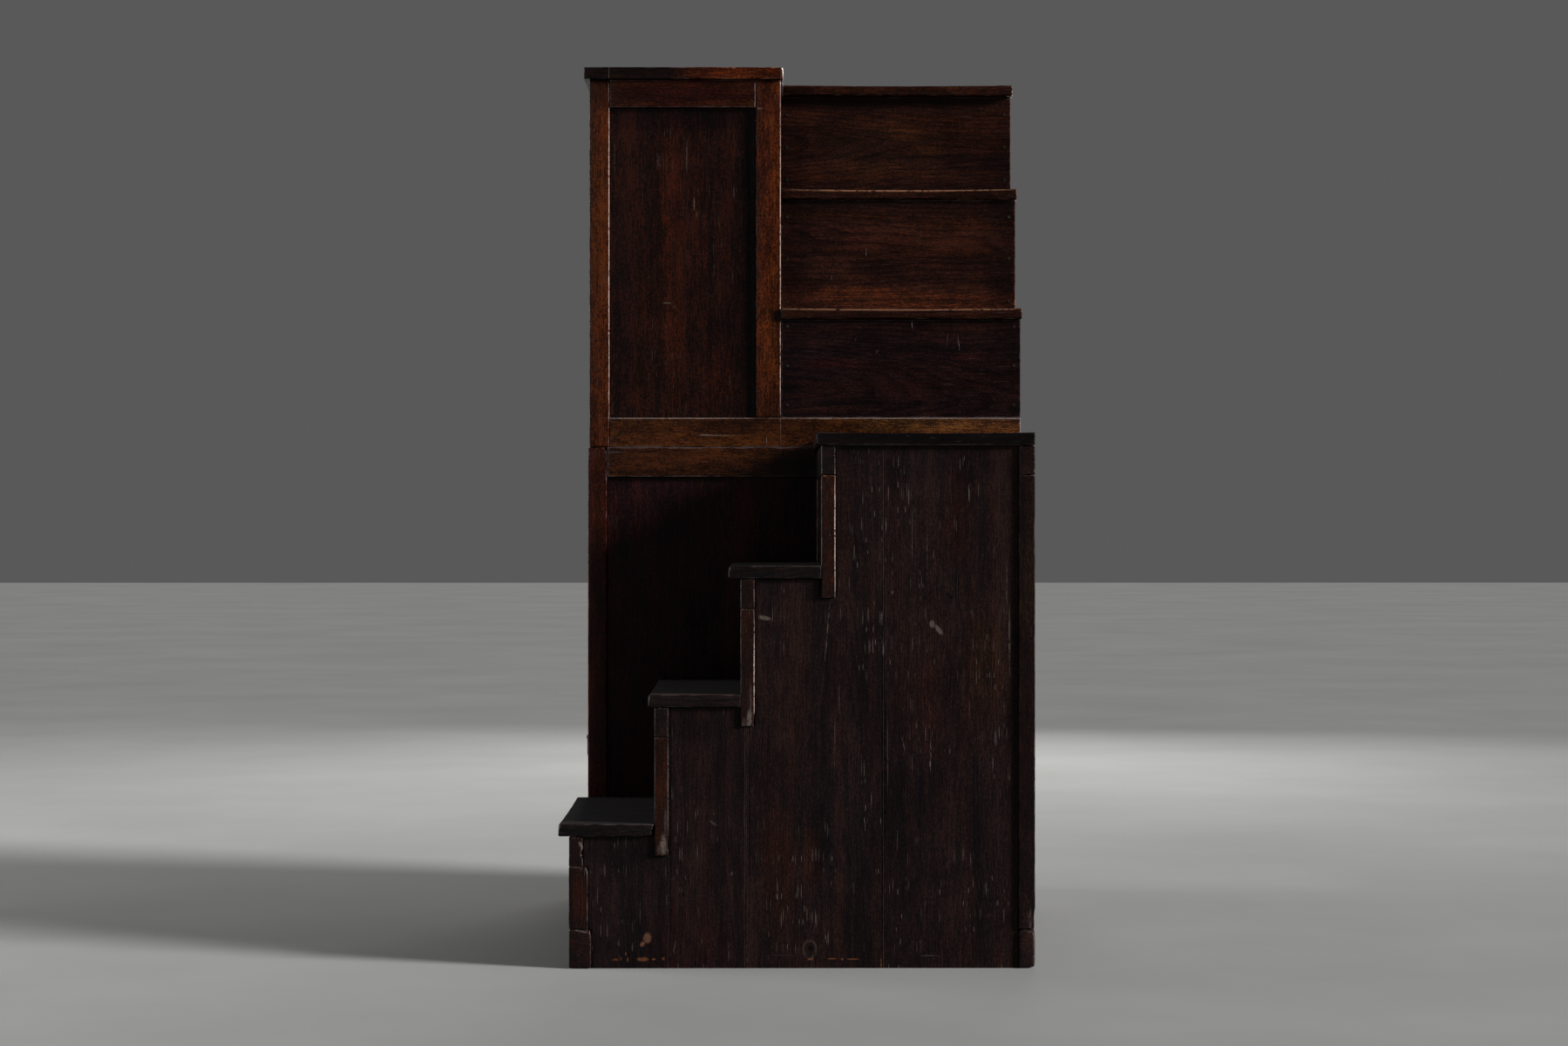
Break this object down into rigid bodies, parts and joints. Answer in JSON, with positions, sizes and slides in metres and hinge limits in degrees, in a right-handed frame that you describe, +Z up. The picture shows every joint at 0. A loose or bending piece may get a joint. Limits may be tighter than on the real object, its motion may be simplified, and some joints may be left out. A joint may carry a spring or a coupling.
{
  "type": "step chest",
  "caption": "Turning step chest: a lower flight over its own case, a tall case with drawers and sliding doors, and an upper flight beside its cupboard.",
  "frame": {"origin": "on the floor, under the middle of the whole piece's footprint", "axes": "+X along the lower flight from its first riser, +Y from the near side to the back, +Z up"},
  "size_m": [1.011, 1.393, 1.955],
  "materials": {
    "dark_side_wood": "dark stained and lacquered wood with worn edges",
    "dark_post_wood": "dark lacquered wood, end grain at the rails' ends",
    "dark_tread_wood": "dark lacquered wood, satin to gloss",
    "warm_frame_wood": "warm brown lacquered wood",
    "dark_panel_wood": "dark red-brown lacquered wood",
    "stair_red_wood": "red-brown lacquered wood, satin",
    "plain_inner_wood": "bare planed softwood, aged",
    "black_iron": "hand-forged, blackened"
  },
  "bodies": {
    "chest": {"stair_posts": "dark_post_wood", "step_rails": "dark_post_wood", "base_rails": "dark_post_wood", "side_board_1": "dark_side_wood", "side_board_2": "dark_side_wood", "side_board_3": "dark_side_wood", "side_board_4": "dark_side_wood", "far_side_boards": "plain_inner_wood", "step_risers": "dark_tread_wood", "end_boards": "dark_tread_wood", "stair_floor": "plain_inner_wood", "tread_1": "dark_tread_wood", "tread_2": "dark_tread_wood", "tread_3": "dark_tread_wood", "landing": "dark_tread_wood", "lower_posts": "warm_frame_wood", "lower_rails": "warm_frame_wood", "lower_side_panels": "dark_panel_wood", "lower_back_boards": "plain_inner_wood", "lower_boards": "plain_inner_wood", "drawer_runners": "plain_inner_wood", "upper_posts": "warm_frame_wood", "upper_rails": "warm_frame_wood", "upper_side_panels": "dark_panel_wood", "divider": "warm_frame_wood", "upper_boards": "plain_inner_wood", "top_board": "warm_frame_wood", "high_riser_1": "stair_red_wood", "high_riser_2": "stair_red_wood", "high_riser_3": "stair_red_wood", "high_tread_1": "stair_red_wood", "high_tread_2": "stair_red_wood", "top_tread": "stair_red_wood", "high_casing": "stair_red_wood", "riser_nails": "black_iron"},
    "step_drawer": {"step_drawer_front": "dark_tread_wood", "step_drawer_sides": "plain_inner_wood", "step_drawer_back": "plain_inner_wood", "step_drawer_bottom": "plain_inner_wood", "step_drawer_eyes": "black_iron"},
    "drawer_1": {"drawer_1_front": "warm_frame_wood", "drawer_1_sides": "plain_inner_wood", "drawer_1_back": "plain_inner_wood", "drawer_1_bottom": "plain_inner_wood", "drawer_1_eyes": "black_iron"},
    "drawer_2": {"drawer_2_front": "warm_frame_wood", "drawer_2_sides": "plain_inner_wood", "drawer_2_back": "plain_inner_wood", "drawer_2_bottom": "plain_inner_wood", "drawer_2_eyes": "black_iron"},
    "step_drawer_bail": {"step_drawer_bail": "black_iron"},
    "drawer_1_bail_near": {"drawer_1_bail_near": "black_iron"},
    "drawer_1_bail_far": {"drawer_1_bail_far": "black_iron"},
    "drawer_2_bail_near": {"drawer_2_bail_near": "black_iron"},
    "drawer_2_bail_far": {"drawer_2_bail_far": "black_iron"},
    "lower_door_near": {"lower_door_near": "warm_frame_wood"},
    "lower_door_far": {"lower_door_far": "warm_frame_wood"},
    "upper_door_near": {"upper_door_near": "warm_frame_wood"},
    "upper_door_far": {"upper_door_far": "warm_frame_wood"}
  },
  "joints": [
    {"name": "step_drawer_slide", "type": "slide", "parent": "chest", "child": "step_drawer", "axis": [-1, 0, 0], "range_m": [0, 0.45]},
    {"name": "drawer_1_slide", "type": "slide", "parent": "chest", "child": "drawer_1", "axis": [-1, 0, 0], "range_m": [0, 0.52]},
    {"name": "drawer_2_slide", "type": "slide", "parent": "chest", "child": "drawer_2", "axis": [-1, 0, 0], "range_m": [0, 0.52]},
    {"name": "step_drawer_bail_swing", "type": "hinge", "parent": "step_drawer", "child": "step_drawer_bail", "pos_m": [-0.4925, -0.3835, 0.15865], "axis": [0, 1, 0], "range_deg": [0, 85]},
    {"name": "drawer_1_bail_near_swing", "type": "hinge", "parent": "drawer_1", "child": "drawer_1_bail_near", "pos_m": [-0.4895, 0.1815, 0.19015], "axis": [0, 1, 0], "range_deg": [0, 85]},
    {"name": "drawer_1_bail_far_swing", "type": "hinge", "parent": "drawer_1", "child": "drawer_1_bail_far", "pos_m": [-0.4895, 0.4315, 0.19015], "axis": [0, 1, 0], "range_deg": [0, 85]},
    {"name": "drawer_2_bail_near_swing", "type": "hinge", "parent": "drawer_2", "child": "drawer_2_bail_near", "pos_m": [-0.4895, 0.1815, 0.42115], "axis": [0, 1, 0], "range_deg": [0, 85]},
    {"name": "drawer_2_bail_far_swing", "type": "hinge", "parent": "drawer_2", "child": "drawer_2_bail_far", "pos_m": [-0.4895, 0.4315, 0.42115], "axis": [0, 1, 0], "range_deg": [0, 85]},
    {"name": "lower_door_near_slide", "type": "slide", "parent": "chest", "child": "lower_door_near", "axis": [0, 1, 0], "range_m": [0, 0.31]},
    {"name": "lower_door_far_slide", "type": "slide", "parent": "chest", "child": "lower_door_far", "axis": [0, -1, 0], "range_m": [0, 0.31]},
    {"name": "upper_door_near_slide", "type": "slide", "parent": "chest", "child": "upper_door_near", "axis": [0, 1, 0], "range_m": [0, 0.31]},
    {"name": "upper_door_far_slide", "type": "slide", "parent": "chest", "child": "upper_door_far", "axis": [0, -1, 0], "range_m": [0, 0.31]}
  ]
}
